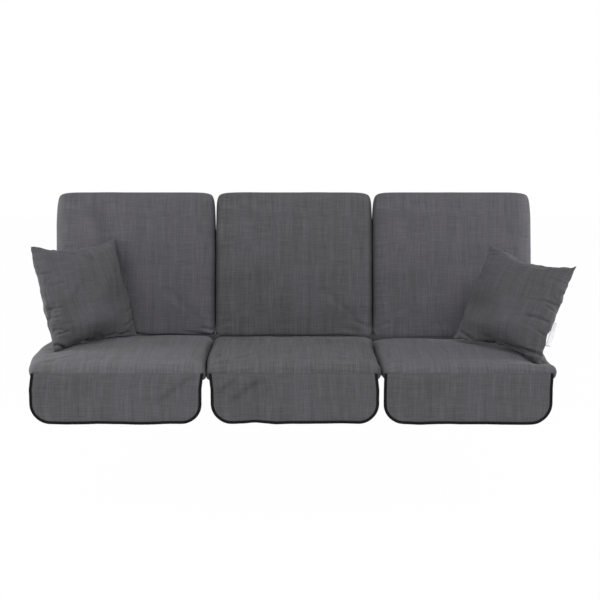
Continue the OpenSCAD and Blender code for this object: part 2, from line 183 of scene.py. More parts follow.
def subdivide(obj, seam):
    """Smooths a piece once it has its form, with its seam kept where it is."""
    on_seam = np.zeros(len(obj.data.vertices), bool)
    on_seam[seam] = True
    ends = np.empty(2 * len(obj.data.edges), np.int32)
    obj.data.edges.foreach_get("vertices", ends)
    creases = on_seam[ends.reshape(-1, 2)].all(1).astype(np.float32)
    layer = obj.data.attributes.new("crease_edge", "FLOAT", "EDGE")
    layer.data.foreach_set("value", creases)
    modifier = obj.modifiers.new("subdivide", "SUBSURF")
    modifier.levels = modifier.render_levels = 1
    evaluated = obj.evaluated_get(bpy.context.evaluated_depsgraph_get())
    mesh = bpy.data.meshes.new_from_object(evaluated)
    obj.modifiers.clear()
    old, obj.data = obj.data, mesh
    bpy.data.meshes.remove(old)


def rim_of(grid):
    """Vertices of a grid's rim."""
    return np.concatenate([grid[0], grid[-1], grid[:, 0], grid[:, -1]])


def smoothed(grid, steps):
    """A grid of vectors, averaged with its neighbours a number of times."""
    out = grid.copy()
    for _ in range(steps):
        padded = np.pad(out, ((1, 1), (1, 1), (0, 0)), mode="edge")
        out = (padded[:-2, 1:-1] + padded[2:, 1:-1] + padded[1:-1, :-2]
               + padded[1:-1, 2:] + 2 * out) / 6
    return out


def simulate(obj, pinned, pressure, slack, stiffness=15.0, bending=0.5):
    """How far Blender's cloth moves each vertex. The cloth is larger than the mesh by slack."""
    start = coords(obj)
    group = obj.vertex_groups.new(name="pinned")
    for i in np.nonzero(pinned > 0)[0]:
        group.add([int(i)], float(pinned[i]), "REPLACE")
    cloth = obj.modifiers.new("cloth", "CLOTH")
    s = cloth.settings
    s.quality = 6
    s.mass = 0.3
    s.tension_stiffness = s.compression_stiffness = stiffness
    s.shear_stiffness = stiffness / 3
    s.bending_stiffness = bending
    s.use_pressure = True
    s.uniform_pressure_force = pressure
    s.effector_weights.gravity = 0
    s.shrink_min = -slack
    if pinned.any():
        s.vertex_group_mass = "pinned"
    cloth.collision_settings.use_collision = False
    cloth.point_cache.frame_start = 1
    cloth.point_cache.frame_end = SIM_FRAMES
    for step in range(1, SIM_FRAMES + 1):
        scene.frame_set(step)
    evaluated = obj.evaluated_get(bpy.context.evaluated_depsgraph_get())
    mesh = evaluated.to_mesh()
    formed = vectors(mesh.vertices, "co")
    evaluated.to_mesh_clear()
    obj.modifiers.clear()
    obj.vertex_groups.clear()
    scene.frame_set(1)
    return formed - start


# ---- Creases and swells of a face, and the shares that they are made with ----

def metres(table):
    """The same table of lines with its millimetres as metres."""
    return {name: [tuple(v / 1000 for v in line) for line in lines]
            for name, lines in table.items()}


def unit(values):
    return np.clip(values, 0, 1)


def eased(share):
    """From 0 to 1, level at both ends."""
    share = unit(share)
    return share * share * (3 - 2 * share)


def spot(points, x, y, reach):
    """How near points of the plane are to a place: 1 at it, and less all round."""
    return np.exp(-((points[:, 0] - x) ** 2 + (points[:, 1] - y) ** 2) / reach ** 2)


def along_lines(points, lines):
    """Sum of the lines' depths at points in the plane. A line is x0, y0, x1, y1, half width
    and depth, all in metres. A dent has a depth over 0, and both sides of it swell a little."""
    total = np.zeros(len(points))
    for x0, y0, x1, y1, width, depth in lines:
        start, way = np.array([x0, y0]), np.array([x1 - x0, y1 - y0])
        length = np.linalg.norm(way)
        way = way / length
        along = (points - start) @ way
        beside = (points - start) @ np.array([-way[1], way[0]])
        taper = eased(np.minimum(along, length - along) / (0.35 * length) + 0.5)
        q = (beside / width) ** 2
        total += depth * taper * (np.exp(-q) - 0.35 * np.exp(-q / 6))
    return total


def random_creases(rng, count, half, near, far, reach, depth):
    """Short puckers that start at the seam all round a face and run inwards."""
    lines = []
    for _ in range(count):
        side = rng.integers(0, 4)
        s = rng.uniform(-0.92, 0.92)
        length = reach * rng.uniform(0.5, 1.2)
        slant = rng.uniform(-0.5, 0.5) * length
        if side < 2:
            sign = 2 * side - 1
            x0, y0 = sign * half, (near + far) / 2 + s * ((far - near) / 2)
            x1, y1 = x0 - sign * length, y0 + slant
        else:
            x0, y0 = s * half, (near, far)[side - 2]
            x1, y1 = x0 + slant, y0 + (length if side == 2 else -length)
        width = rng.uniform(0.004, 0.009)
        lines.append((x0, y0, x1, y1, width, depth * rng.uniform(-0.8, 1.0)))
    return lines


def unevenness(points, rng, size, height):
    """Soft, wide swells: a few plane waves of about the given size."""
    waves = 7
    total = np.zeros(len(points))
    for _ in range(waves):
        angle = rng.uniform(0, math.pi)
        k = 2 * math.pi / (size * rng.uniform(0.7, 1.5))
        phase = rng.uniform(0, 2 * math.pi)
        total += np.sin(k * (points[:, 0] * math.cos(angle)
                             + points[:, 1] * math.sin(angle)) + phase)
    return height * total / math.sqrt(waves)


# ---- Materials ----

WHITE = (1, 1, 1, 1)


class Nodes:
    """Short names for building the node tree of a material or a world."""

    def __init__(self, owner):
        owner.use_nodes = True
        self.owner, self.tree = owner, owner.node_tree

    def add(self, kind, inputs=(), **settings):
        node = self.tree.nodes.new("ShaderNode" + kind)
        for key, value in settings.items():
            setattr(node, key, value)
        self.fill(node, dict(inputs))
        return node

    def fill(self, node, inputs):
        """Links or sets a node's sockets. A node of the tree may be given by its name."""
        node = self.tree.nodes[node] if isinstance(node, str) else node
        for key, value in inputs.items():
            if isinstance(value, bpy.types.NodeSocket):
                self.tree.links.new(value, node.inputs[key])
            else:
                node.inputs[key].default_value = value

    def math(self, operation, *values):
        return self.add("Math", enumerate(values), operation=operation).outputs[0]

    def total(self, *layers):
        """Sum of values, each times its share."""
        out = 0.0
        for value, share in layers:
            out = self.math("MULTIPLY_ADD", value, share, out)
        return out

    def uv(self):
        return self.add("UVMap", uv_map="weave").outputs["UV"]

    def place(self):
        return self.add("TexCoord").outputs["Object"]

    def noise(self, vector, sizes, detail=2.0):
        """Noise whose grains have the given sizes along the vector's axes."""
        stretch = tuple(1 / size for size in sizes) + (1.0,) * (3 - len(sizes))
        scaled = self.add("VectorMath", {0: vector, 1: stretch}, operation="MULTIPLY")
        return self.add("TexNoise",
                        {"Vector": scaled.outputs[0], "Scale": 1.0, "Detail": detail,
                         "Roughness": 0.55}).outputs["Fac"]

    def ramp(self, value, low, high, out_low, out_high):
        return self.add("MapRange",
                        {"Value": value, "From Min": low, "From Max": high,
                         "To Min": out_low, "To Max": out_high}).outputs["Result"]

    def finished(self, colour, shade, height, bump, sockets):
        """The material: a colour times a shade, a bump's strength and distance, and the rest."""
        base = self.add("VectorMath", {0: colour, "Scale": shade}, operation="SCALE")
        normal = self.add("Bump",
                          {"Height": height, "Strength": bump[0], "Distance": bump[1]})
        self.fill("Principled BSDF", {"Base Color": base.outputs[0],
                                      "Normal": normal.outputs["Normal"], **sockets})
        return self.owner


def new_material(name):
    return Nodes(bpy.data.materials.new(name))


def linear(colour, tone=1.0):
    """A colour as the eye sees it, 0 to 255, as linear light."""
    return tuple(((tone * c / 255 + 0.055) / 1.055) ** 2.4 for c in colour)


YARN = 0.0016            # pitch of the linen's yarns
GREY = (92.0, 92.0, 94.0)
VIOLET = (92.5, 90.5, 96.0)
BANDS, ROWS, CLOUD, WEAVE = 0.55, 0.30, 0.22, 0.05      # shares in the linen's tone
TONE_SWING = 0.29        # how far the tone swings about its mean


def linen(name, tone, violet, contrast=1.0, shares=(1.15, 0.85), warp_l=0.085, weft_w=0.0040):
    """Slubby plain weave: yarns of uneven tone and thickness in both directions."""
    n = new_material(name)
    uv = n.uv()
    warp = n.noise(uv, (0.0036, warp_l), 2.5)
    weft = n.noise(uv, (0.065, weft_w), 2.5)
    bands = n.noise(uv, (0.022, 0.60))
    rows = n.noise(uv, (0.45, 0.030))
    cloud = n.noise(uv, (0.16, 0.16), 1.5)
    # A plain weave: yarns pass over and under each other
    axes = n.add("SeparateXYZ", {0: uv}).outputs
    over = [n.math("SINE", n.math("MULTIPLY", axes[i], math.pi / YARN)) for i in (0, 1)]
    weave = n.math("MULTIPLY", *over)
    tones = n.total((warp, shares[0]), (weft, shares[1]), (bands, BANDS), (rows, ROWS),
                    (cloud, CLOUD), (weave, WEAVE))
    mean = (shares[0] + shares[1] + BANDS + ROWS + CLOUD) / 2
    swing = TONE_SWING * contrast
    shade = n.ramp(tones, mean - 0.4, mean + 0.4, 1 - swing, 1 + swing)
    hue = n.ramp(n.total((bands, 1.0), (cloud, 0.4)), 0.60, 0.82,
                 max(0.0, violet - 0.5), min(1.0, violet + 0.5))
    grey, lilac = (linear(colour, tone) + (1.0,) for colour in (GREY, VIOLET))
    colour = n.add("Mix", {0: hue, 6: grey, 7: lilac}, data_type="RGBA").outputs[2]
    n.owner.diffuse_color = grey
    return n.finished(
        colour, shade, n.total((weave, 0.45), (warp, 0.9), (weft, 0.7)), (0.55, 0.0006),
        {"Roughness": n.ramp(warp, 0.3, 0.7, 0.86, 0.98), "Specular IOR Level": 0.25,
         "Sheen Weight": 0.05, "Sheen Roughness": 0.5})


def tape(name, colour, rib=0.0011, gloss=0.3):
    """Ribbed grosgrain tape. Its ribs run across it, and v is its length."""
    n = new_material(name)
    uv = n.uv()
    length = n.add("SeparateXYZ", {0: uv}).outputs["Y"]
    ribs = n.math("SINE", n.math("MULTIPLY", length, 2 * math.pi / rib))
    wear = n.noise(uv, (0.006, 0.03), 3.0)
    shade = n.ramp(n.total((ribs, 0.25), (wear, 1.0)), 0.1, 1.0, 0.8, 1.25)
    return n.finished(linear(colour), shade, ribs, (0.4, 0.0003),
                      {"Roughness": 0.8, "Specular IOR Level": gloss})


def foam_material(name, colour, cell):
    n = new_material(name)
    place = n.place()
    cells = n.add("TexVoronoi", {"Vector": place, "Scale": 1 / cell})
    cells = cells.outputs["Distance"]
    blotch = n.noise(place, (1 / 12, 1 / 12, 1 / 12), 3.0)
    shade = n.ramp(n.math("ADD", cells, blotch), 0.2, 1.3, 0.88, 1.06)
    return n.finished(linear(colour), shade, cells, (0.5, cell / 3), {"Roughness": 0.95})


def metal_material(name):
    n = new_material(name)
    scratches = n.noise(n.place(), (1 / 300, 1 / 2200, 1 / 300), 4.0)
    return n.finished(
        linear((150, 151, 153)), n.ramp(scratches, 0.3, 0.7, 0.85, 1.1), scratches,
        (0.15, 0.0001),
        {"Roughness": n.ramp(scratches, 0.3, 0.7, 0.28, 0.45), "Metallic": 1.0})


def satin_material(name):
    n = new_material(name)
    threads = n.noise(n.uv(), (0.0004, 0.02))
    return n.finished(linear((240, 238, 242)), n.ramp(threads, 0.3, 0.7, 0.93, 1.03), threads,
                      (0.2, 0.0001), {"Roughness": 0.5})


def dress(obj, material, body, slot, *nodes):
    """Gives a piece its material, hides the CAD nodes that it stands for, and puts it on the body
    that it rides on, if it isn't blended between two. The slot is not used."""
    obj.data.materials.clear()
    obj.data.materials.append(material)
    if body:
        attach(obj, body)
    if nodes:
        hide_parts(*nodes)


# ---- Box cushions ----

def rounded(dist, reach, power=2.0):
    """Share of the full height at a distance from the seam."""
    q = unit(1 - dist / reach)
    return (1 - q ** power) ** (1 / power)


def stations(low, high, low_round, high_round):
    """Places along one side, about a cell apart on the surface."""
    bend = np.array([1 - math.cos(math.pi / 2 * k / EDGE_CELLS) for k in range(EDGE_CELLS)])
    middle = np.linspace(low + low_round, high - high_round,
                         round((high - high_round - low - low_round) / CELL) + 1)
    return np.concatenate([low + low_round * bend, middle, high - high_round * bend[::-1]])


PITCH = fold_line("centre").x - fold_line("left").x
TOUCH_GAP = 0.00005          # left between the side seams of neighbours


class Cushion:
    """One box cushion in its own frame, with the sizes of its CAD cover."""

    def __init__(self, place, kind):
        self.place, self.kind = place, kind
        self.name = f"{place}_{kind}"
        self.world = (seat_frame if kind == "seat" else back_frame)(place)
        low, high = local_box(f"{self.name}_cover", self.world)
        self.half, self.near, self.far = high[0], low[1], high[1]
        self.touch = PITCH / 2 - self.half - TOUCH_GAP
        turn = -1 if kind == "seat" else 1
        # Its sides, -1 or 1 in its own frame, that lie against another cushion
        self.neighbours = [side for side in (-1, 1)
                           if 0 <= PLACES.index(place) + turn * side < len(PLACES)]
        self.bottom, self.crown = low[2], high[2]
        self.seam = -(SEAT_SEAM_D if kind == "seat" else BACK_SEAM_D)

    def by_side(self, x, special, usual):
        """A value at each x: that of its side where one is set for this cushion."""
        low, high = (special.get((self.name, side), usual) for side in (-1, 1))
        return np.where(x < 0, low, high)

    def seam_at(self, x, y):
        """Height of the seam. Between two cushions it lies deeper, pressed down by both."""
        share = (y - self.near) / (self.far - self.near)
        out = np.full(np.shape(x), self.seam)
        for side in self.neighbours:
            front = FRONT_RAMP.get((self.name, side), 0.20)
            ramp = eased(unit(share / 0.14) * unit((1 - share) / front))
            out += unit(x * side / self.half) ** 8 * (
                SEAM_LIFT * unit(1 - share / 0.06) - CONTACT_D[self.kind] * ramp)
        return out

    def sunk(self, x):
        """How far the crease between seat and back lies below the fold line, and how much
        further its corners do."""
        corner = np.zeros(np.shape(x))
        for side in self.neighbours:
            corner += CORNER_SUNK * np.exp(-(self.half - x * side) / CORNER_SUNK_REACH)
        return np.full(np.shape(x), CREASE_SUNK[self.place]), corner

    def bulge(self, side, y):
        """How far the side seam stands out, side being -1 or 1 in the cushion's frame."""
        share = unit((y - self.near) / (self.far - self.near))
        if self.kind == "seat":
            hump, flare = SEAT_SIDES[self.place][side]
            return self.touch + (flare * share ** 2 + hump * np.sin(np.pi * share) ** 0.8)
        shift, start = BACK_SIDES[self.place][side]
        return self.touch + (
            shift - TOP_TAPER * unit((share - start) / (1 - start)) ** 1.3)

    def sheets(self):
        xs = stations(-self.half, self.half, WIDE_SIDE.get((self.name, -1), SIDE_ROUND),
                      WIDE_SIDE.get((self.name, 1), SIDE_ROUND))
        ys = stations(self.near, self.far, NEAR_ROUND, EDGE_ROUND)
        x, y = np.meshgrid(xs, ys, indexing="ij")
        mid, span = (self.near + self.far) / 2, (self.far - self.near) / 2
        u, v = x / self.half, (y - mid) / span
        side_round = self.by_side(x, WIDE_SIDE, SIDE_ROUND)
        share = rounded(self.half - abs(x), side_round, 2.5) * np.minimum(
            rounded(self.far - y, EDGE_ROUND), rounded(y - self.near, NEAR_ROUND, 4.0))
        crown = self.crown * unit(1 - u * u) * unit(1 - v * v)
        if self.kind == "seat":
            whole, corner = self.sunk(x)
            behind = y - self.near
            crown = crown - whole * unit(1 - behind / SUNK_L) ** 2
            crown -= corner * unit(1 - behind / CORNER_SUNK_L) ** 2
        seam = self.seam_at(x, y)
        top = seam * (1 - share) + crown * share
        under = seam + (self.bottom - seam) * share
        corner_r = self.by_side(x, WIDE_CORNER, CORNER_R[self.kind])
        sharp = CORNER_REACH * self.half / corner_r
        corner = np.where(v > 0, abs(u * v) ** sharp, 0) * CORNER_LOSS * corner_r
        swell = np.where(x < 0, self.bulge(-1, y), self.bulge(1, y)) * abs(u) ** 3
        px = x - np.sign(x) * (corner - swell)
        py = y - corner
        return np.stack([px, py, top], -1), np.stack([px, py, under], -1)

    def wrinkle(self, obj, upper, lower):
        """Adds the fine part of what simulated cloth does to the top sheet."""
        points = coords(obj)
        held = np.zeros(len(points))
        held[rim_of(upper)] = 1
        held[lower[3:-3, 3:-3].ravel()] = 1
        moved = simulate(obj, held, CUSHION_PRESSURE, SLACK[self.kind])[upper]
        fine = (moved - smoothed(moved, 40)) * (0.3, 0.3, 1)
        size = np.linalg.norm(fine, axis=2)
        x, y = points[upper, 0], points[upper, 1]
        inside = np.minimum(self.half - abs(x), self.far - y)
        share = (np.minimum(1, FINE_CAP[self.kind] / np.maximum(size, 1e-9))
                 * np.clip(inside / EDGE_ROUND, 0.25, 1)
                 * unit((y - self.near) / CALM_L))
        points[upper] += fine * share[:, :, None]
        set_coords(obj, points)

    def build(self, seed, creases, material):
        obj, upper, lower = sewn(f"{self.name}_cushion_cover", *self.sheets())
        rng = np.random.default_rng(seed)
        self.wrinkle(obj, upper, lower)
        subdivide(obj, rim_of(upper))
        points, out_way = coords(obj), normals(obj)
        plane = points[:, :2]
        depth = self.pressed(plane) + along_lines(plane, creases + random_creases(
            rng, 26, self.half, self.near, self.far, 0.045, 0.0016))
        depth += unevenness(plane, rng, 0.14, 0.0011)
        points -= out_way * (depth * unit(out_way[:, 2] * 2))[:, None]
        points[:, 2] = np.maximum(points[:, 2], self.bottom)
        squeezed = self.nose(points)
        points[:, 1] -= squeezed
        points[:, 2] += squeezed * NOSE_LIFT[self.kind]
        if self.kind == "back":
            points[:, 1] -= sum(self.sunk(points[:, 0])) * self.rise(points) * np.exp(
                -np.clip(points[:, 1] - self.near, 0, None) / SUNK_NOSE_L)
        set_coords(obj, points)
        obj.data.transform(self.world)
        dress(obj, material, self.name, "cushion_cloth", f"{self.name}_cover")

    def rise(self, points):
        """From 0 where the fold strip is sewn on to 1 at the shoulder."""
        return eased((points[:, 2] + NOSE_FOOT) / NOSE_RISE)

    def nose(self, points):
        """How far the shoulder above the fold strip is squeezed out over the fold."""
        back = np.exp(-np.clip(points[:, 1] - self.near, 0, None) / NOSE_L)
        return NOSE * self.rise(points) * back

    def pressed(self, plane):
        """Depth to which what lies on the cushion presses it in, at points in its plane."""
        depth = along_lines(plane, PRESSED_LINES.get(self.name, []))
        for x, y, reach, deep in PRESSED_SPOTS.get(self.name, []):
            depth += deep * spot(plane, x, y, reach)
        return depth

    def filling(self, material):
        """The foam block, inside the cover by the cover's thickness and wadding."""
        top, under = self.sheets()
        mid = np.array([0, (self.near + self.far) / 2, self.seam])
        size = np.array([self.half, (self.far - self.near) / 2, 0.03])
        shrink = 1 - FOAM_INSET / size
        top, under = [(s[::2, ::2] - mid) * shrink + mid for s in (top, under)]
        inner = top[1:-1, 1:-1]
        pressed = self.pressed(inner[:, :, :2].reshape(-1, 2))
        inner[:, :, 2] -= np.maximum(pressed, 0).reshape(inner.shape[:2])
        obj, _, _ = sewn(f"{self.name}_foam_block", top, under)
        obj.data.transform(self.world)
        dress(obj, material, self.name, "foam", f"{self.name}_foam")


CUSHION_PRESSURE = 2.0
SLACK = {"seat": 0.010, "back": 0.005}
FOAM_INSET = 0.009
CALM_L = 0.09                # from the fold, the simulated creases fade in over this
FINE_CAP = {"seat": 0.0022, "back": 0.0008}     # the most that the simulated cloth adds
NOSE = 0.0070                # how far a shoulder is squeezed out over the fold
NOSE_FOOT = 0.0110           # its depth, just above where the fold strip is sewn on
NOSE_RISE = 0.0060
NOSE_L = 0.0120              # how far from the end it is felt
NOSE_LIFT = {"seat": 0.45, "back": 0.0}    # share by which it rises as well
CONTACT_D = {"seat": 0.020, "back": 0.021}     # how much deeper the seam is between cushions
FRONT_RAMP = {("left_seat", -1): 0.07, ("centre_seat", 1): 0.07}
WIDE_SIDE = {("left_back", -1): 0.045, ("right_back", 1): 0.055}
WIDE_CORNER = {("centre_seat", -1): 0.031, ("right_seat", 1): 0.031}
CREASE_SUNK = {"left": 0.0, "centre": 0.004, "right": 0.011}
CORNER_SUNK, CORNER_SUNK_REACH = 0.006, 0.030
SEAM_LIFT = 0.007            # of a seat's seam at the fold, so that the fold strip closes it
SUNK_L, CORNER_SUNK_L, SUNK_NOSE_L = 0.17, 0.075, 0.030


# How a side seam leaves the straight line, by place and by side in the cushion's own frame.
# A seat's frame is turned half round, so its side 1 is at -X.
SEAT_SIDES = {      # a hump in the middle of its length, and a flare to the front
    "left": {-1: (-0.008, 0.004), 1: (0.026, 0.0)},
    "centre": {-1: (0.0, 0.0055), 1: (0.008, -0.004)},
    "right": {-1: (0.0, 0.005), 1: (0.0, -0.0055)},
}
BACK_SIDES = {      # a shift, and the share of its length from which it tapers to the top
    "left": {-1: (0.0045, 0.76), 1: (0.0033, 0.70)},
    "centre": {-1: (-0.0033, 0.70), 1: (0.0033, 0.80)},
    "right": {-1: (-0.0033, 0.80), 1: (0.009, 0.76)},
}
TOP_TAPER = 0.0034

# Dents along short lines, in a cushion's own frame, in mm: x0, y0, x1, y1, half width, depth
CREASES = metres({
    "left_seat": [
        (-262, 30, -200, 65, 10, 3.5), (-255, 360, -200, 300, 14, 2.5),
        (-260, 455, -200, 440, 8, 2), (255, 450, 190, 430, 9, 2),
    ],
    "centre_seat": [
        (-250, 35, -185, 60, 10, 4), (258, 30, 205, 60, 10, 3), (255, 455, 165, 444, 7, 3),
        (235, 420, 160, 430, 10, -2), (-255, 450, -190, 440, 9, 2.5),
        (263, 300, 210, 280, 12, 2),
    ],
    "right_seat": [
        (258, 30, 200, 60, 10, 3), (-255, 450, -190, 435, 9, 2.5), (258, 452, 200, 440, 9, 2),
    ],
    "left_back": [
        (270, 22, 228, 27, 4.5, 5.5), (262, 8, 165, 16, 5, 4), (266, 50, 225, 56, 6, 1.5),
        (262, 300, 225, 310, 8, 1.2),
    ],
    "centre_back": [
        (-262, 30, -215, 50, 7, 2.2), (262, 30, 205, 52, 7, 2.8), (240, 15, 170, 28, 8, 2),
        (263, 110, 230, 125, 7, 1.2),
    ],
    "right_back": [
        (-262, 26, -210, 48, 7, 2.5), (-262, 80, -225, 100, 8, 1.5),
        (262, 460, 220, 440, 12, 1.5),
    ],
})

# The same, where a scatter pillow presses into what it leans on. The foam has these too.
PRESSED_LINES = metres({
    "left_back": [(-120, 450, -30, 200, 35, 14.5), (-50, 250, 12, -30, 35, 10)],
    "right_seat": [(-345, 300, -150, 405, 45, 10)],
})
# The same, round, in mm: x, y, reach, depth
PRESSED_SPOTS = metres({
    "left_seat": [(219, 284, 35, 4.5)],
    "right_seat": [(-228, 408, 36, 19)],
})


# ---- Fold strips: one band of cloth from the seat to the back, with its rolled seam ----

STRIP_T = 0.0016
STRIP_SEWN = (0.0099, 0.0219)     # depths below the shoulders where it is sewn on
STRIP_INSIDE = (0.0030, -0.0058)  # where its inner face turns, below the roll
ROLL_R = 0.0023
ROLL_MIDDLE = (0.0012, -0.0022)   # of the rolled seam, behind the fold line and above it
STRIP_SET_BACK = 0.006            # of the cushions' flat ends from the fold
STRIP_HALF = 0.26995              # it ends just short of its neighbours
STRIP_STATIONS = 120


def fold_strip(place, material):
    """A section across the fold line, as offsets to the back and up, swept along it."""
    fold = fold_line(place)
    lean = np.array([[math.sin(LEAN), math.cos(LEAN)], [-math.cos(LEAN), math.sin(LEAN)]])
    inner, outer = STRIP_SET_BACK, STRIP_SET_BACK - STRIP_T
    near, deep = STRIP_SEWN

    def on_seat(y, high, low):
        return [np.array([-y, -z]) for z in np.linspace(high, low, 5)]

    def on_back(y, high, low):
        return [y * lean[0] - z * lean[1] for z in np.linspace(high, low, 5)]

    start = math.atan2(-0.35, -0.94)
    roll = [ROLL_MIDDLE + ROLL_R * np.array([math.cos(a), math.sin(a)])
            for a in np.linspace(start, start - math.radians(222), 17)]
    section = np.array(
        on_seat(inner, deep, near) + roll + on_back(inner, near, deep)
        + on_back(outer, deep, near + STRIP_T) + [STRIP_INSIDE]
        + on_seat(outer, near + STRIP_T, deep))
    xs = fold.x + np.linspace(-STRIP_HALF, STRIP_HALF, STRIP_STATIONS + 1)
    rng = np.random.default_rng(PLACES.index(place) + 70)
    ripple = np.convolve(rng.normal(size=xs.size + 8), np.ones(9) / 3, "valid")
    shape = np.tile(section, (xs.size, 1, 1))
    rolled = slice(5, 5 + len(roll))
    shape[:, rolled] = ROLL_MIDDLE + (
        (shape[:, rolled] - ROLL_MIDDLE) * (1 + 0.12 * ripple)[:, None, None])
    shape[:, rolled, 1] -= CREASE_SUNK[place] * 0.6
    rings = np.insert(shape + (fold.y, fold.z), 0, xs[:, None], 2)
    obj = swept(f"{place}_fold_band", rings)
    dress(obj, material, None, "strip_cloth",
          f"{place}_seat_fold_strip", f"{place}_back_fold_strip")
    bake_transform(obj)


# ---- Swept and stacked forms ----

def loft(rings):
    """Points and faces of closed rings joined in a row, with flat ends."""
    index = np.arange(rings.shape[0] * rings.shape[1]).reshape(rings.shape[:2])
    faces = quads(np.concatenate([index, index[:, :1]], 1))
    return rings.reshape(-1, 3), [*faces, index[0], index[-1][::-1]]


def swept(name, rings):
    """A closed tube of rings that have the same number of points."""
    points, faces = loft(rings)
    around = np.linalg.norm(np.roll(rings, -1, 1) - rings, axis=2).cumsum(1)
    u = np.concatenate([np.zeros((len(rings), 1)), around], 1)
    along = np.linalg.norm(np.diff(rings, axis=0), axis=2).mean(1).cumsum()
    v = np.broadcast_to(np.concatenate([[0], along])[:, None], u.shape)
    sides = quads(np.stack([u, v], -1)).reshape(-1, 2)
    uv = np.concatenate([sides, rings[0, :, 1:], rings[-1, ::-1, 1:]])
    return new_mesh(name, points, faces, uv)


def solid_of(name, parts):
    """One mesh of several: each part is its points and faces."""
    points, faces, at = [], [], 0
    for part_points, part_faces in parts:
        points.append(part_points)
        faces += [np.asarray(f) + at for f in part_faces]
        at += len(part_points)
    points = np.concatenate(points)
    return new_mesh(name, points, faces, points[np.concatenate(faces)][:, [0, 2]])


def bevelled_block(low, high, bevel):
    """A box whose edges along x are cut at an angle, as a ring of eight swept in four steps."""
    rings = []
    for x, inset in ((low[0], bevel), (low[0] + bevel, 0),
                     (high[0] - bevel, 0), (high[0], bevel)):
        y0, z0, y1, z1 = low[1] + inset, low[2] + inset, high[1] - inset, high[2] - inset
        rings.append([(x, y0 + bevel, z0), (x, y1 - bevel, z0), (x, y1, z0 + bevel),
                      (x, y1, z1 - bevel), (x, y1 - bevel, z1), (x, y0 + bevel, z1),
                      (x, y0, z1 - bevel), (x, y0, z0 + bevel)])
    return loft(np.array(rings))


def hollow_plate(outer, inner, low_y, high_y, bevel):
    """A flat plate with a hole: its section goes round as the outlines are followed."""
    way = outer - inner
    way = way / np.linalg.norm(way, axis=1, keepdims=True) * bevel
    levels = (low_y, low_y + bevel, high_y - bevel, high_y)
    lines = [outer - way, outer, outer, outer - way, inner + way, inner, inner, inner + way]
    rings = np.array([np.stack([line[:, 0], np.full(len(line), y), line[:, 1]], -1)
                      for line, y in zip(lines, levels + levels[::-1])]).transpose(1, 0, 2)
    index = np.arange(rings.shape[0] * rings.shape[1]).reshape(rings.shape[:2])
    return rings.reshape(-1, 3), quads(np.pad(index, ((0, 1), (0, 1)), "wrap"), True)


# ---- Zips ----

TOOTH_PITCH = 0.003
TAPE_ACROSS = np.array([-0.0100, -0.0092, -0.0026, 0.0026, 0.0092, 0.0100])
TAPE_SUNK = np.array([0.0008, 0.0, 0.0, 0.0, 0.0, 0.0008])     # its front, at those places
STOP_HALF = (0.002, 0.0034)       # of an end stop, along the zip and across it


def flat_shaded(obj):
    for polygon in obj.data.polygons:
        polygon.use_smooth = False


def zip_closed(place, kind, world, tape_material, tooth_material):
    """Tape, two rows of teeth that mesh, and the end stops, from the CAD zip's box."""
    name = f"{place}_{kind}"
    low, high = local_box(f"{name}_zip", world)
    half_l, mid_z = high[0], (low[2] + high[2]) / 2
    tape_y, teeth_y = high[1] - 0.0012, low[1]
    xs = np.linspace(-half_l, half_l, 85)
    front = np.empty((xs.size, TAPE_ACROSS.size, 3))
    front[:, :, 0] = xs[:, None]
    front[:, :, 1] = tape_y + TAPE_SUNK + 0.0001 * np.sin(xs * 140)[:, None]
    front[:, :, 2] = mid_z + TAPE_ACROSS
    back = front * (1, 0, 1) + (0, high[1], 0)
    tape_obj = swept(f"{name}_zip_tape", np.concatenate([front, back[:, ::-1]], 1))
    teeth = []
    for i in range(int(2 * half_l / TOOTH_PITCH) - 3):
        for row in (-1, 1):
            x = -half_l + 0.006 + i * TOOTH_PITCH + (row + 1) * TOOTH_PITCH / 4
            z0, z1 = sorted((mid_z - row * 0.0004, mid_z + row * 0.0020))
            teeth.append(bevelled_block((x, teeth_y + 0.0002, z0),
                                        (x + 0.0011, tape_y + 0.0001, z1), 0.0002))
    for x in (STOP_HALF[0] - half_l, half_l - STOP_HALF[0]):
        teeth.append(bevelled_block((x - STOP_HALF[0], teeth_y, mid_z - STOP_HALF[1]),
                                    (x + STOP_HALF[0], tape_y + 0.0001, mid_z + STOP_HALF[1]),
                                    0.0004))
    teeth_obj = solid_of(f"{name}_zip_teeth", teeth)
    for obj, material in ((tape_obj, tape_material), (teeth_obj, tooth_material)):
        obj.data.transform(world)
        dress(obj, material, name, "zip_tape")
    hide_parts(f"{name}_zip")
    flat_shaded(teeth_obj)


def stadium(x0, x1, radius, count=12):
    """Outline of a bar with round ends, in x and z."""
    arc = np.linspace(-math.pi / 2, math.pi / 2, count)
    right = np.stack([x1 + radius * np.cos(arc), radius * np.sin(arc)], -1)
    left = np.stack([x0 - radius * np.cos(arc), -radius * np.sin(arc)], -1)
    return np.concatenate([right, left])


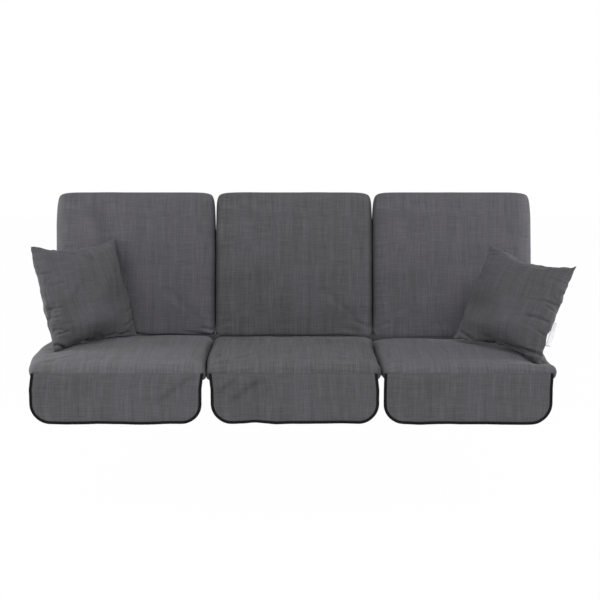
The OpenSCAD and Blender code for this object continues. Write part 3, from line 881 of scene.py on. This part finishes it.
def zip_slider(place, kind, world, material):
    """A body with flanges, a bridge, and a pull with a hole, from the CAD slider's box."""
    name = f"{place}_{kind}_zip_slider"
    low, high = local_box(name, world)
    half_w, long = (high[2] - low[2]) / 2, high[0] - low[0]
    body_l, plate, r = 0.011, 0.0011, 0.0004
    rings = []
    for x, wide, inset in ((0.0, 0.80, r), (0.0005, 0.86, 0.0), (0.0040, 0.94, 0.0),
                           (0.0070, 1.0, 0.0), (body_l - 0.0005, 1.0, 0.0), (body_l, 0.95, r)):
        w, y0, y1 = half_w * wide, low[1] + inset, high[1] - inset
        rim = min(half_w - plate, w - r)
        rings.append([(x, y, z) for y, z in (
            (y0, -w + r), (y0, w - r), (y0 + r, w), (y1 - r, w), (y1, w - r),
            (y1, rim + 0.0001), (y0 + plate, rim - 0.0001), (y0 + plate, -rim + 0.0001),
            (y1, -rim - 0.0001), (y1, -w + r), (y1 - r, -w), (y0 + r, -w))])
    arch = []
    for share in np.linspace(0, 1, 13):
        x = 0.0022 + 0.0068 * share
        y = low[1] + 0.0002 - 0.0009 * math.sin(math.pi * share) ** 0.6
        arch.append([(x, y, -0.0008), (x, y, 0.0008), (x, y + 0.0006, 0.0008),
                     (x, y + 0.0006, -0.0008)])
    pull = hollow_plate(stadium(body_l - plate + 0.0012, long - 0.0025, 0.0024),
                        stadium(long - 0.0085, long - 0.0028, 0.0012),
                        low[1] + 0.0001, low[1] + plate, 0.0002)
    at = (low[0], 0.0, (low[2] + high[2]) / 2)
    parts = (loft(np.array(rings)), loft(np.array(arch)), pull)
    obj = solid_of(f"{place}_{kind}_zip_pull", [(points + at, faces) for points, faces in parts])
    obj.data.transform(world)
    dress(obj, material, name, "zip_metal", name)
    flat_shaded(obj)


# ---- Front flaps and their binding ----

FLAP_CORNER = 0.063
FLAP_T = 0.0024
FLAP_WAVE = 0.0035
FLAP_CYCLES = 2.2
FLAP_SEWN, FLAP_SEWN_L = 0.0018, 0.010     # how far its top turns in to the seam, and from where
FLAP_PHASE = {"left": -25, "centre": 70, "right": 165}   # degrees
BINDING_W, BINDING_GAP, BINDING_T = 0.0078, 0.0004, 0.0012
STITCH = 0.0042
STITCH_IN = 0.0062       # of the row of stitches from the edge
STITCH_RINGS = ((-0.0014, 0.0001), (-0.0009, 0.00032), (0.0009, 0.00032), (0.0014, 0.0001))

# Width, and how far the middle of the hem stands off its place's middle
FLAP_CUT = {"left": (0.528, -0.0070), "centre": (0.516, 0.0060), "right": (0.517, -0.001)}

# Folds, in mm: x0, drop0, x1, drop1, half width, and depth, which is over 0 where they go in
FLAP_FOLDS = metres({
    "left": [
        (250, 4, 135, 100, 16, 10.5), (-250, 4, -205, 20, 12, 2.2), (-60, 70, 60, 85, 22, 1.2),
    ],
    "centre": [
        (-235, 70, -165, 10, 11, 10), (-190, 92, -100, 24, 14, 12.5),
        (-205, 30, -150, 12, 11, -3), (-140, 8, 10, 16, 8, 1.2), (200, 50, 245, 90, 16, 1.5),
    ],
    "right": [(-120, 55, 30, 75, 20, 1.6), (200, 20, 246, 60, 14, 2)],
})


class Flap:
    """One flap's cut and hang, from its CAD node's box and its seam."""

    def __init__(self, place):
        self.place = place
        low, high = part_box(f"{place}_front_flap")
        self.seam = Vector(joint(f"{place}_flap_swing")["pos_m"])
        self.top = high.z
        self.drop = high.z - low.z + HEM_LOWER[place]
        self.width, self.shift = FLAP_CUT[place]
        self.half = self.width / 2

    def hem(self, x):
        past = np.maximum(0, abs(x) - self.half + FLAP_CORNER)
        return self.drop - FLAP_CORNER + np.sqrt(np.maximum(0, FLAP_CORNER ** 2 - past ** 2))

    def out(self, x, drop):
        """How far the cloth hangs out in front of the seam at a place on it."""
        share = np.clip(drop, 0, None) / self.drop
        wave = FLAP_WAVE * share * np.sin(
            2 * math.pi * FLAP_CYCLES * x / self.width + math.radians(FLAP_PHASE[self.place]))
        flat = np.stack([x.ravel(), drop.ravel()], -1)
        folds = along_lines(flat, FLAP_FOLDS[self.place]).reshape(x.shape)
        return wave - folds * unit(drop / 0.02)

    def hang(self, x, drop, proud):
        """World points from places on the cut, and how far they stand in front of it."""
        x, drop, proud = np.broadcast_arrays(x, drop, proud)
        sag = sum(low * np.exp(-((x - at) / wide) ** 2) for at, wide, low in HEM_SAGS[self.place])
        drop = drop + sag * unit(drop / self.drop) ** 3
        sewn_on = FLAP_SEWN * unit(1 - drop / FLAP_SEWN_L) ** 2
        return np.stack([
            self.seam.x + x + self.shift * unit(drop / 0.05),
            self.seam.y - proud - self.out(x, drop) + sewn_on,
            self.top - drop], -1)

    def cloth(self, material):
        middle = self.half - FLAP_CORNER
        corner = middle + FLAP_CORNER * np.cos(np.linspace(math.pi / 2, 0, 15)[1:])
        columns = np.concatenate([-corner[::-1], np.linspace(-middle, middle, 90), corner])
        rows = np.linspace(0, 1, 33)
        x = np.broadcast_to(columns[:, None], (columns.size, rows.size))
        drop = self.hem(columns)[:, None] * rows
        edge = np.minimum(self.half - abs(x), self.hem(x) - drop)
        half_t = FLAP_T / 2 * rounded(edge, 0.0015)
        half_t[:, 0] = 0
        top = self.hang(x, drop, half_t)
        under = self.hang(x, drop, -half_t)
        uv = np.stack([x, -drop], -1)
        # The front sheet faces -Y, so its grid runs the other way round
        obj, _, _ = sewn(f"{self.place}_flap_cloth", under, top, (uv + UNDER_SHIFT, uv))
        dress(obj, material, f"{self.place}_flap", "flap_cloth", f"{self.place}_front_flap")
        return obj

    def edge_line(self, spacing):
        """Places on the edge from one end of the seam to the other, with the way out."""
        side, middle = self.drop - FLAP_CORNER, self.half - FLAP_CORNER
        arc = FLAP_CORNER * math.pi / 2
        ends = np.cumsum([side, arc, 2 * middle, arc, side])
        s = np.linspace(0, ends[-1], int(ends[-1] / spacing) + 1)
        turn = (np.clip(s - ends[0], 0, arc) + np.clip(s - ends[2], 0, arc)) / FLAP_CORNER
        out_x, out_drop = -np.cos(turn), np.sin(turn)
        x = np.clip(s - ends[1], 0, 2 * middle) - middle + FLAP_CORNER * out_x
        drop = np.minimum(side, np.minimum(s, ends[-1] - s)) + FLAP_CORNER * out_drop
        return x, drop, out_x, out_drop

    def binding(self, material, thread):
        """Tape folded over the edge: a rounded U with walls, and a row of stitches."""
        inner, tip = FLAP_T / 2 + BINDING_GAP, 0.0004
        outer = inner + BINDING_T
        wall = [(tip - BINDING_W, outer), (-BINDING_W * 0.6, outer), (-0.002, outer)]
        section = np.array(
            [(-BINDING_W, outer - tip)] + wall
            + [(-0.0012 + outer * math.cos(a), outer * math.sin(a))
               for a in np.linspace(math.pi / 2, -math.pi / 2, 9)]
            + [(x, -y) for x, y in reversed(wall)]
            + [(-BINDING_W, tip - outer), (-BINDING_W, -inner), (-0.001, -inner),
               (BINDING_GAP, 0.0), (-0.001, inner), (-BINDING_W, inner)])
        x, drop, out_x, out_drop = (v[:, None] for v in self.edge_line(0.0032))
        rng = np.random.default_rng(PLACES.index(self.place) + 40)
        slack = np.convolve(rng.normal(size=x.size + 14), np.ones(15) / 15, "valid") * 0.0008
        reach = section[:, 0] + slack[:, None]
        obj = swept(f"{self.place}_flap_edge_tape",
                    self.hang(x + reach * out_x, drop + reach * out_drop, section[:, 1]))
        dress(obj, material, f"{self.place}_flap", "binding_tape",
              f"{self.place}_flap_binding")
        # A stitch is four rings of six points, on the front and on the back
        x, drop, out_x, out_drop = (v[1:-1, None, None, None] for v in self.edge_line(STITCH))
        along, radius = np.array(STITCH_RINGS).T[:, :, None]
        turn = np.linspace(0, 2 * math.pi, 6, endpoint=False)
        inwards = radius * np.cos(turn) - STITCH_IN
        face = np.array([1, -1])[:, None, None]
        points = self.hang(x + out_x * inwards + out_drop * along,
                           drop + out_drop * inwards - out_x * along,
                           face * (outer + radius * np.sin(turn)))
        stitched = solid_of(f"{self.place}_flap_stitches",
                            [loft(rings) for rings in points.reshape(-1, 4, 6, 3)])
        dress(stitched, thread, f"{self.place}_flap", "binding_tape")
        return obj, stitched


HEM_LOWER = {"left": 0.0041, "centre": 0.0024, "right": 0.0040}

# Where a hem hangs lower than its cut, in mm: place across, half width, how much
HEM_SAGS = metres({
    "left": [(-90, 50, 0.6), (80, 60, 0.8)],
    "centre": [(-60, 30, 2.4), (-125, 20, -2.2), (120, 70, 0.8)],
    "right": [(-150, 40, 3), (100, 90, 2.4), (-55, 28, -1)],
})


# ---- Scatter pillows ----

PILLOW_HALF, PILLOW_HALF_T = 0.167, 0.058
PILLOW_DRAWN = 0.013     # how far the middles of its sides draw in
PILLOW_FACE = 0.155      # half of the part of a face that the seam's puckers start from
PILLOW_N = 68            # cells along a side, before it is subdivided
PILLOW_FLAT_HALF, PILLOW_AIR = 0.175, 0.045      # before it is blown up
PILLOW_PRESSURE = 3.0
PILLOW_POSE = {"left": (48, -21, 0), "right": (-39, -31, 5)}   # turn, lean, roll in degrees

# On the front, in mm: x0, z0, x1, z1, half width, depth
PILLOW_CREASES = metres({
    "left": [
        (-186, -30, -148, -40, 3.6, 5.5), (-184, -98.5, -156, -109, 3.8, 4.8),
        (-176, -120.5, -140, -116, 4, 4.8), (-164, 37, -116, 41, 7, 4.5),
        (-184, 90, -150, 76, 5, 4), (-186, -60, -155, -68, 4.5, 3.5),
        (-80, 148, -7, 131, 6, -8.5), (-14, 133, 24, 109, 6, -7.5),
        (165, -110, 118, -128, 4.5, 7), (138, -149, 86, -152, 4.5, 7),
        (172, -70, 135, -82, 5, 3.5), (-192, -146, -152, -166, 5, 8.5),
        (-100, -160, -30, -148, 6, 5), (0, -152, 70, -148, 6, 6), (118, 70, 104, -45, 10, 6.5),
        (75, 30, 85, -60, 11, 5), (-120, -10, -60, 40, 14, -5),
    ],
    "right": [
        (50, -64, 116, -53.5, 4.5, 4.2), (82, -53, 158, -50, 5.8, 7.5),
        (112, 3.5, 166, 16, 4.8, 5), (138, -6, 174, -12, 4.2, 5), (120, 85, 165, 90, 6, 3),
        (115, -158, 172, -155, 5.5, 8), (35, -146, 150, -160, 5.5, 8),
        (-150, -140, -85, -160, 5.5, 6), (-70, -158, 10, -146, 5.5, 6),
        (-168, 137, -85, 145, 4, -4.5), (-158, 150, -105, 153, 4, 4.5),
        (40, 133, 100, 125, 7, -4), (136, -90, 184, -100, 4.8, 4.5),
        (20, -85, 110, -90, 13, -4),
    ],
})


# Where it is pulled off the square, in mm: x, z, reach, and how far in x, z and to the front
PILLOW_TUGS = metres({
    "left": [
        (-160, 160, 60, -4, 15, 0), (-165, 120, 40, -8, 0, 0), (160, 160, 50, 10.5, 9, 0),
        (-160, -20, 115, -29, 0, 0), (-160, -160, 50, -17, -5, 0), (160, -30, 85, 24, 0, -7),
        (160, -160, 50, 9, 1, -14), (-30, 160, 60, 0, -4, 0),
    ],
    "right": [
        (-160, 160, 55, 2, 3, 0), (160, 160, 55, 0, -12, 0), (160, 0, 80, 9, 0, 0),
        (165, 4, 16, -7, 0, 0), (-160, -20, 95, -18, 0, -12), (-160, -160, 50, 3, 0, 0),
        (160, -160, 55, 6, -22, 0), (25, 160, 85, 0, -15, 0), (80, 160, 50, 0, -7, 0),
    ],
})

# The front falls off towards its lower inner corner: the way there, and how much of its height
PILLOW_FALL = {"left": (0.75, -0.66), "right": (-0.75, -0.66)}
FALL_SHARE, FALL_FROM, FALL_TO = 0.80, 0.010, 0.155
PILLOW_BELLY, BELLY_Z, BELLY_L = 0.023, -0.102, 0.042   # the lower part of the front stands out


def tugged(points, place):
    return points + sum(spot(points, x, z, reach)[:, None] * way
                        for x, z, reach, *way in PILLOW_TUGS[place])


def settled(points, place):
    """Gives a plump square the stance of its place: pulled seams, a bent edge, a slack corner."""
    out = tugged(points, place)
    way_x, way_z = PILLOW_FALL[place]
    along = points[:, 0] * way_x + points[:, 1] * way_z
    fall = eased((along - FALL_FROM) / (FALL_TO - FALL_FROM))
    out[:, 2] -= FALL_SHARE * fall * points[:, 2].clip(0)
    return out


def rippled(points, seam, rng, size, height):
    """Puckers a seam: it runs in and out a little, and the cloth beside it follows."""
    out = points.copy()
    span = abs(points[seam]).max()
    for axis in (0, 1):
        along = points[:, 1 - axis]
        wave = sum(np.sin(along * 2 * math.pi / (size * rng.uniform(0.6, 1.7))
                          + rng.uniform(0, 6.3)) for _ in range(4)) / 2
        near = np.exp(-(span - abs(points[:, axis])).clip(0) / 0.014)
        out[:, axis] += height * wave * near * np.sign(points[:, axis])
    return out


def pillow_grid(half, half_t, n):
    """A flat square of two sheets with a little air between them, its seam on the plane."""
    step = -np.cos(np.linspace(0, math.pi, n + 1))
    line = half * (0.35 * step + 0.65 * np.linspace(-1, 1, n + 1))
    x, y = np.meshgrid(line, line, indexing="ij")
    across, along = (unit(1 - abs(v / half) ** 2.6) ** 0.6 for v in (x, y))
    lens = half_t * across * along
    return np.stack([x, y, lens], -1), np.stack([x, y, -lens], -1)


def inflated(place, seed):
    """The pillow's cover: flat squares blown up by Blender's cloth, then brought to size."""
    top, under = pillow_grid(PILLOW_FLAT_HALF, PILLOW_AIR, PILLOW_N)
    obj, upper, lower = sewn(f"{place}_scatter_pillow", top, under)
    points = coords(obj)
    rng = np.random.default_rng(seed)
    points[:, 2] += 0.0003 * rng.normal(size=len(points)) * (abs(points[:, 2]) > 0)
    set_coords(obj, points)
    points = points + simulate(obj, np.zeros(len(points)), PILLOW_PRESSURE, 0.0,
                               stiffness=40.0, bending=2.0)
    middle = (points.max(0) + points.min(0)) / 2
    size = (points.max(0) - points.min(0)) / 2
    points = (points - middle) * np.array(
        [PILLOW_HALF, PILLOW_HALF, PILLOW_HALF_T]) / size
    set_coords(obj, points)
    return obj, rim_of(upper)


def pillow_world(place):
    low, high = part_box(f"{place}_pillow_cover")
    turn, lean, roll = (math.radians(a) for a in PILLOW_POSE[place])
    return (Matrix.Translation((low + high) / 2) @ Matrix.Rotation(turn, 4, "Z")
            @ Matrix.Rotation(lean, 4, "X") @ Matrix.Rotation(roll, 4, "Y"))


LYING = Matrix.Rotation(math.pi / 2, 4, "X")    # a pillow's front from the top of its mesh
PRESS_REACH = 0.035      # how deep a point may lie in a neighbour and still be found
PILLOW_GAP, WAD_GAP = 0.0006, 0.0050     # kept from a neighbour's cover
WAD_INSET = np.array([0.032, 0.032, 0.020])


def flattened(obj, place, gap):
    """Flattens a piece against the seat and the back of its place, where it would be in them."""
    points = coords(obj)
    for kind in ("seat", "back"):
        mesh = bpy.data.objects[f"{place}_{kind}_cushion_cover"].data
        tree = BVHTree.FromPolygons([v.co for v in mesh.vertices],
                                    [p.vertices for p in mesh.polygons])
        for i, point in enumerate(points):
            near, way, _, _ = tree.find_nearest(Vector(point), PRESS_REACH)
            if near is not None:
                short = gap - (Vector(point) - near) @ way
                points[i] += np.array(way) * max(0.0, short)
    set_coords(obj, points)


def pillow(place, seed, cover_material, fill_material):
    obj, seam = inflated(place, seed)
    rng = np.random.default_rng(seed + 1)
    points = rippled(coords(obj), seam, rng, 0.030, 0.0016)
    set_coords(obj, settled(points, place))
    subdivide(obj, seam)
    points, out_way = coords(obj), normals(obj)
    front = unit(out_way[:, 2] * 2.5)
    behind = unit(-out_way[:, 2] * 2.5)
    plane = points[:, :2]
    face = (PILLOW_FACE, -PILLOW_FACE, PILLOW_FACE)
    depth = front * along_lines(
        plane, PILLOW_CREASES[place] + random_creases(rng, 14, *face, 0.040, 0.0018))
    depth += behind * along_lines(plane, random_creases(rng, 26, *face, 0.055, 0.0035))
    depth += unevenness(plane, rng, 0.10, 0.0012) * (front + behind)
    middle = unit(1 - (plane[:, 0] / PILLOW_HALF) ** 2)
    depth -= PILLOW_BELLY * front * middle * np.exp(-((plane[:, 1] - BELLY_Z) / BELLY_L) ** 2)
    points -= out_way * depth[:, None]
    set_coords(obj, points)
    world = pillow_world(place)
    obj.data.transform(world @ LYING)
    flattened(obj, place, PILLOW_GAP)
    dress(obj, cover_material, f"{place}_pillow", "pillow_cloth", f"{place}_pillow_cover")
    top, under = pillow_grid(1.0, 1.0, 24)
    size = np.array([PILLOW_HALF, PILLOW_HALF, PILLOW_HALF_T]) - WAD_INSET
    wad, _, _ = sewn(f"{place}_pillow_wad", top * size, under * size)
    lumps = coords(wad)
    lumps[:, 2] += np.sign(lumps[:, 2]) * unevenness(lumps[:, :2], rng, 0.06, 0.0012)
    lumps[:, 2] *= unit(abs(lumps[:, 2]) / 0.004)
    set_coords(wad, settled(lumps, place))
    wad.data.transform(world @ LYING)
    flattened(wad, place, WAD_GAP)
    dress(wad, fill_material, f"{place}_pillow", "fibre_filling", f"{place}_pillow_filling")


# ---- Care tag ----

TAG_W, TAG_L, TAG_T = 0.015, 0.080, 0.0008
TAG_FROM = 0.042      # below the pillow's middle


def care_tag(material):
    """A blank satin tab sewn into the side seam, curling a little at its free end."""
    low = -TAG_FROM - TAG_L
    x, z = np.meshgrid(np.linspace(0, TAG_W, 9), np.linspace(0, TAG_L, 25), indexing="ij")
    curl = 0.0022 * (x / TAG_W) ** 2 * np.sin(math.pi * (z / TAG_L * 1.3 + 0.15))
    rim = np.minimum(np.minimum(x, TAG_W - x), np.minimum(z, TAG_L - z))
    half_t = TAG_T / 2 * rounded(rim, 0.0004)

    def seam_x(height):
        v = height / PILLOW_HALF
        x = PILLOW_HALF - PILLOW_DRAWN * (1 - v * v)
        return tugged(np.array([[x, height, 0.0]]), "right")[0, 0]

    slope = math.atan2(seam_x(low) - seam_x(-TAG_FROM), TAG_L)
    uv = np.stack([x, z], -1)
    front = np.stack([x, curl - half_t, z], -1)
    back = np.stack([x, curl + half_t, z], -1)
    obj, _, _ = sewn("right_pillow_tab", back, front, (uv + UNDER_SHIFT, uv))
    place = Matrix.Translation((seam_x(low) + 0.0005, 0, low)) @ Matrix.Rotation(-slope, 4, "Y")
    obj.data.transform(pillow_world("right") @ place)
    dress(obj, material, "right_pillow", "tag_cloth", "right_pillow_care_tag")


# ---- Build ----

SEAT_YARNS = ((1.2, 0.6), 0.18, 0.009)
# GREY and VIOLET are the linen's own colour, but each piece's tone is set to how brightly that
# piece is lit, so the differences between pieces are painted light and painted shade. The centre
# pieces and the right pillow are darkened, and the left seat and the left flap are lightened.
LINENS = {      # tone, share of violet, contrast, and yarns that differ from the usual ones
    "back_left": (0.925, 0.90),
    "back_centre": (0.890, 0.15, 1.15),
    "back_right": (0.925, 0.92),
    "seat_left": (1.015, 0.35, 1.1, *SEAT_YARNS),
    "seat_centre": (0.905, 0.20, 1.5, *SEAT_YARNS),
    "seat_right": (0.96, 0.95, 1.2, *SEAT_YARNS),
    "flap_left": (0.925, 0.15, 1.1),
    "flap_centre": (0.900, 0.05, 1.1),
    "flap_right": (0.900, 0.10, 1.1),
    "pillow_left": (0.885, 0.35),
    "pillow_right": (0.83, 0.45),
    # The fold strip's low tone is painted shade of the crease between seat and back.
    "strip": (0.65, 0.4),
}
cloth = {name: linen(f"linen_{name}", *look) for name, look in LINENS.items()}
black_tape = tape("black_grosgrain", (19, 19, 20), gloss=0.12)
black_thread = tape("black_thread", (26, 26, 27), rib=0.0005)
zip_cloth = tape("zip_tape_weave", (52, 52, 55), rib=0.0012, gloss=0.2)
zip_plastic = tape("zip_teeth_plastic", (40, 40, 42), rib=0.0009, gloss=0.5)
foam_block = foam_material("seat_foam", (232, 222, 196), 0.0016)
fibre_wad = foam_material("fibre_wad", (240, 240, 236), 0.004)
slider_metal = metal_material("slider_metal")

for i, place in enumerate(PLACES):
    for k, kind in enumerate(("seat", "back")):
        cushion = Cushion(place, kind)
        cushion.build(100 + 10 * i + k, CREASES[cushion.name], cloth[f"{kind}_{place}"])
        cushion.filling(foam_block)
        zip_closed(place, kind, cushion.world, zip_cloth, zip_plastic)
        zip_slider(place, kind, cushion.world, slider_metal)
    fold_strip(place, cloth["strip"])
    flap = Flap(place)
    hanging = flap.cloth(cloth[f"flap_{place}"])
    edging = flap.binding(black_tape, black_thread)

for i, place in enumerate(("left", "right")):
    pillow(place, 200 + 10 * i, cloth[f"pillow_{place}"], fibre_wad)
care_tag(satin_material("white_satin"))


# ---- Stage, light and camera ----

FLOOR_Z = -0.46
FLOOR_HALF = 9
IMAGE_PX = 600
MIDDLE_PX = 293          # where the photograph has the middle of the centre seat


def white_for_camera(n, seen, shader, output, level):
    """Rays from the camera and from gloss see a plain white in place of a shader."""
    path = n.add("LightPath").outputs
    either = path["Is Camera Ray"]
    for name in ("Is Glossy Ray", "Is Transmission Ray"):
        either = n.math("MAXIMUM", either, path[name])
    mix = n.add("MixShader",
                {0: n.math("MULTIPLY", either, level), 1: n.tree.nodes[shader].outputs[0],
                 2: n.add(seen, {"Color": WHITE}).outputs[0]})
    n.fill(output, {"Surface": mix.outputs[0]})


def stage():
    corners = [(x * FLOOR_HALF, y * FLOOR_HALF, FLOOR_Z)
               for x, y in ((-1, -1), (1, -1), (1, 1), (-1, 1))]
    floor = new_mesh("studio_floor", corners, [[0, 1, 2, 3]])
    n = new_material("pale_floor")
    n.fill("Principled BSDF", {"Base Color": (0.9, 0.9, 0.9, 1), "Roughness": 0.9})
    white_for_camera(n, "Emission", "Principled BSDF", "Material Output", 0.985)
    floor.data.materials.append(n.owner)


def world_light(strength):
    scene.world = bpy.data.worlds.new("studio")
    n = Nodes(scene.world)
    n.fill("Background", {"Color": WHITE, "Strength": strength})
    white_for_camera(n, "Background", "Background", "World Output", 1.0)


def soft_box(name, place, target, size, power):
    """A plain rectangular lamp, which no view shows."""
    data = bpy.data.lights.new(name, "AREA")
    data.shape = "RECTANGLE"
    data.size, data.size_y = size
    data.energy = power
    lamp = bpy.data.objects.new(name, data)
    lamp.location = place
    lamp.rotation_euler = (Vector(target) - Vector(place)).to_track_quat("-Z", "Y").to_euler()
    lamp.visible_camera = False
    scene.collection.objects.link(lamp)


def camera():
    data = bpy.data.cameras.new("camera")
    data.sensor_width = 36
    data.lens = 81.34
    data.shift_x = (IMAGE_PX / 2 - MIDDLE_PX) / IMAGE_PX
    obj = bpy.data.objects.new("camera", data)
    obj.location = (0, -4.3057, 0.9410)
    obj.rotation_euler = (math.radians(90 - 9.5), 0, 0)
    scene.collection.objects.link(obj)
    scene.camera = obj


stage()
world_light(0.52)
for side, name in ((-1, "left"), (1, "right")):
    soft_box(f"key_{name}", (side * 2.0, -2.5, 3.0), (0, 0, 0.15), (1.7, 1.3), 56)
    soft_box(f"edge_{name}", (side * 1.75, 0.15, 0.45), (side * 0.8, 0.15, 0.3), (0.6, 0.8), 10)
camera()
scene.view_settings.view_transform = "Standard"

bpy.context.view_layer.update()
